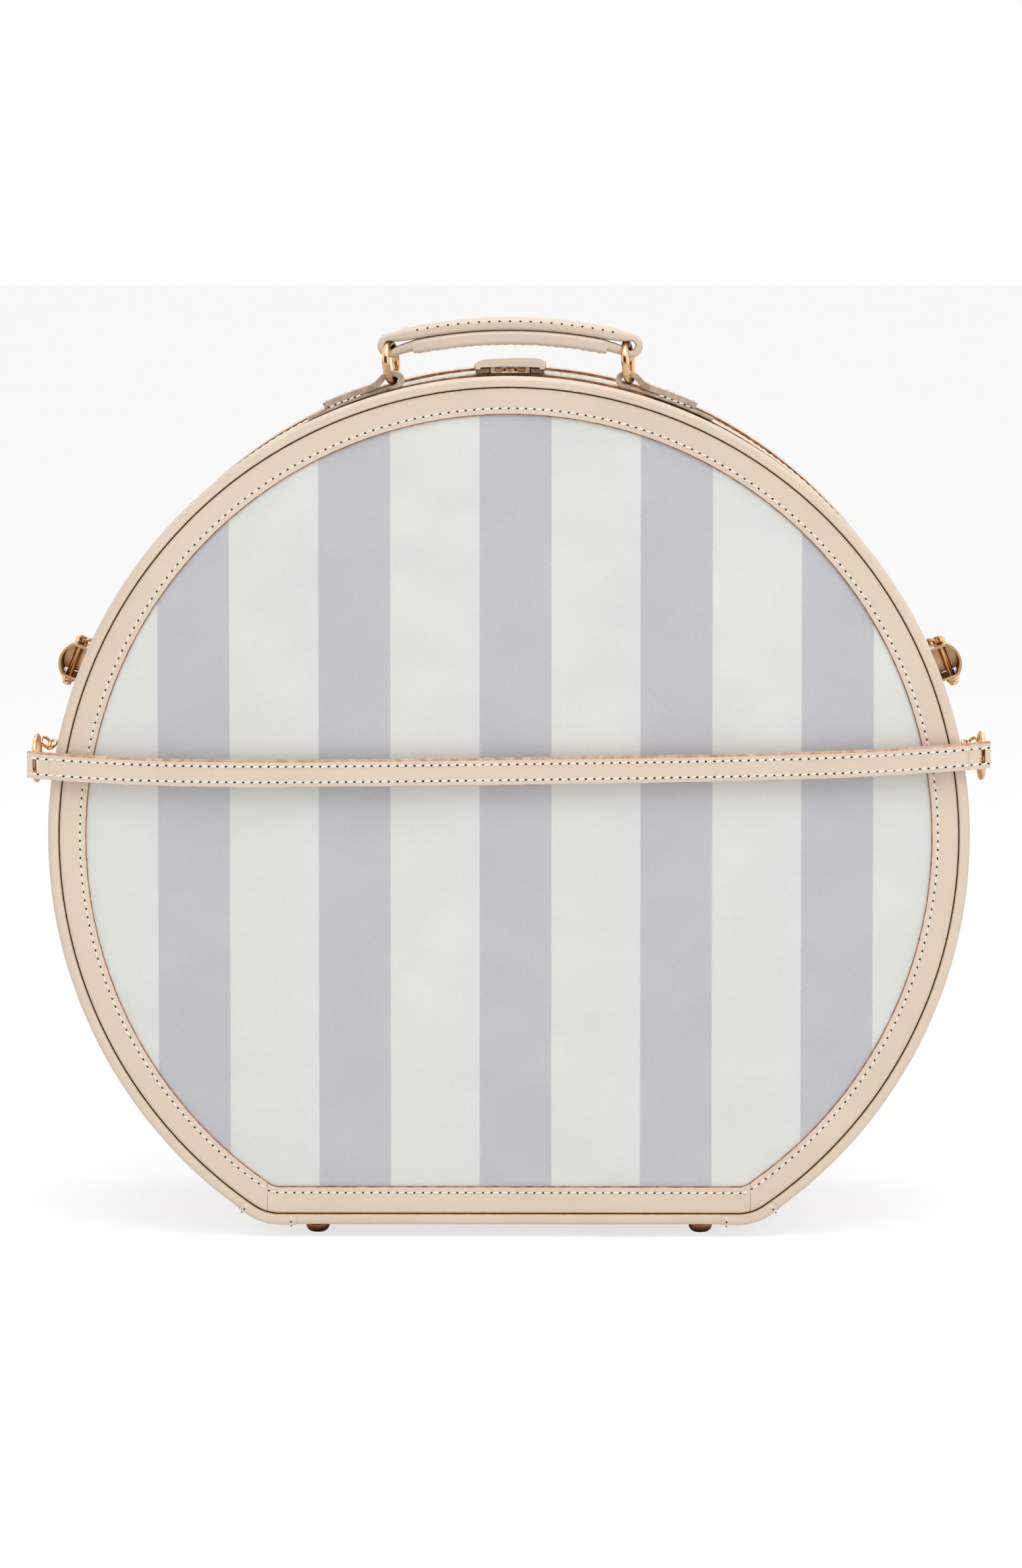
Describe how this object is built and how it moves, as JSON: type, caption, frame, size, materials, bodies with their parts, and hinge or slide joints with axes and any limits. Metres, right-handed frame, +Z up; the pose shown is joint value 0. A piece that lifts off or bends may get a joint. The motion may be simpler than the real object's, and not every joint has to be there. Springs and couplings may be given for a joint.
{
  "type": "hat box",
  "caption": "Round rigid hat box with a flat foot, a bottom-hinged front lid, ring-hung carry handle, toggle latches, a press lock and a strap across the back.",
  "frame": {"origin": "on the floor, under the middle of the overall depth, on the case centre line", "axes": "+Z up, -Y towards the back face that carries the strap, +Y towards the lid, X across the case along the lid hinge"},
  "size_m": [0.4488, 0.222, 0.4282],
  "materials": {
    "leather": "smooth vegetable-tanned leather in a nude cream, raw tan edges",
    "striped_fabric": "coated cotton with wide grey and off-white stripes",
    "lining": "plain woven cotton lining",
    "board": "bent hard fibreboard, covered on both sides",
    "lip_board": "fibreboard covered with the lining cotton",
    "gold_metal": "polished rose-gold plating",
    "foot_metal": "polished copper-gold plating"
  },
  "bodies": {
    "base": {"base_wall": "board", "base_panel": "board", "base_band_fabric": "striped_fabric", "base_face_fabric": "striped_fabric", "base_lining": "lining", "base_seam_binding": "leather", "base_trim_arc": "leather", "base_trim_foot": "leather", "base_welt_arc": "leather", "base_welt_foot": "leather", "base_welt_sleeves": "leather", "register_lip": "lip_board", "base_feet": "foot_metal", "base_hinge_leaves": "gold_metal", "base_hinge_rivets": "gold_metal", "hinge_pins": "gold_metal", "handle_tab_left": "leather", "handle_tab_right": "leather", "lock_body": "gold_metal", "latch_plate_left": "gold_metal", "latch_plate_right": "gold_metal", "latch_pivot_left": "gold_metal", "latch_pivot_right": "gold_metal", "strap_bracket_left": "gold_metal", "strap_bracket_right": "gold_metal"},
    "lid": {"lid_wall": "board", "lid_panel": "board", "lid_band_fabric": "striped_fabric", "lid_face_fabric": "striped_fabric", "lid_lining": "lining", "lid_seam_binding": "leather", "lid_trim_arc": "leather", "lid_trim_foot": "leather", "lid_welt_arc": "leather", "lid_welt_foot": "leather", "lid_welt_sleeves": "leather", "lid_feet": "foot_metal", "lid_hinge_leaves": "gold_metal", "lid_hinge_rivets": "gold_metal", "closure_root": "leather", "closure_rivets": "gold_metal", "latch_catch_left": "gold_metal", "latch_catch_right": "gold_metal"},
    "handle": {"handle_strap": "leather", "handle_grip": "leather", "handle_ring_left": "gold_metal", "handle_ring_right": "gold_metal"},
    "closure": {"closure_tab": "leather", "closure_stud": "gold_metal"},
    "lock_button": {"lock_button": "gold_metal"},
    "lever_left": {"latch_lever_left": "gold_metal", "latch_bar_left": "gold_metal"},
    "lever_right": {"latch_lever_right": "gold_metal", "latch_bar_right": "gold_metal"},
    "loop_left": {"latch_loop_left": "gold_metal"},
    "loop_right": {"latch_loop_right": "gold_metal"},
    "strap": {"carry_strap": "leather", "strap_ring_left": "gold_metal", "strap_ring_right": "gold_metal"}
  },
  "joints": [
    {"name": "lid_hinge", "type": "hinge", "parent": "base", "child": "lid", "pos_m": [0, 0.00265, 0.0042], "axis": [-1, 0, 0], "range_deg": [0, 100]},
    {"name": "handle_swing", "type": "hinge", "parent": "base", "child": "handle", "pos_m": [0, -0.01735, 0.4069], "axis": [1, 0, 0], "range_deg": [-30, 60]},
    {"name": "closure_lift", "type": "hinge", "parent": "lid", "child": "closure", "pos_m": [0, 0.00765, 0.403], "axis": [-1, 0, 0], "range_deg": [0, 9]},
    {"name": "lock_button_press", "type": "slide", "parent": "base", "child": "lock_button", "axis": [0, 1, 0], "range_m": [0, 0.0015], "stiffness_N_per_m": 200},
    {"name": "lever_left_lift", "type": "hinge", "parent": "base", "child": "lever_left", "pos_m": [-0.20794, -0.00235, 0.26525], "axis": [-0.3502, 0, -0.9367], "range_deg": [0, 100]},
    {"name": "loop_left_swing", "type": "hinge", "parent": "lever_left", "child": "loop_left", "pos_m": [-0.20775, -0.00935, 0.26518], "axis": [-0.3502, 0, -0.9367], "range_deg": [-116, 0]},
    {"name": "lever_right_lift", "type": "hinge", "parent": "base", "child": "lever_right", "pos_m": [0.20794, -0.00235, 0.26525], "axis": [-0.3502, 0, 0.9367], "range_deg": [0, 100]},
    {"name": "loop_right_swing", "type": "hinge", "parent": "lever_right", "child": "loop_right", "pos_m": [0.20775, -0.00935, 0.26518], "axis": [-0.3502, 0, 0.9367], "range_deg": [-116, 0]},
    {"name": "strap_swing", "type": "hinge", "parent": "base", "child": "strap", "pos_m": [0, -0.08765, 0.224], "axis": [1, 0, 0], "range_deg": [-14, 14]}
  ],
  "couplings": [
    {"joint": "loop_left_swing", "follows": "lever_left_lift", "ratio": -1.15},
    {"joint": "loop_right_swing", "follows": "lever_right_lift", "ratio": -1.15}
  ]
}
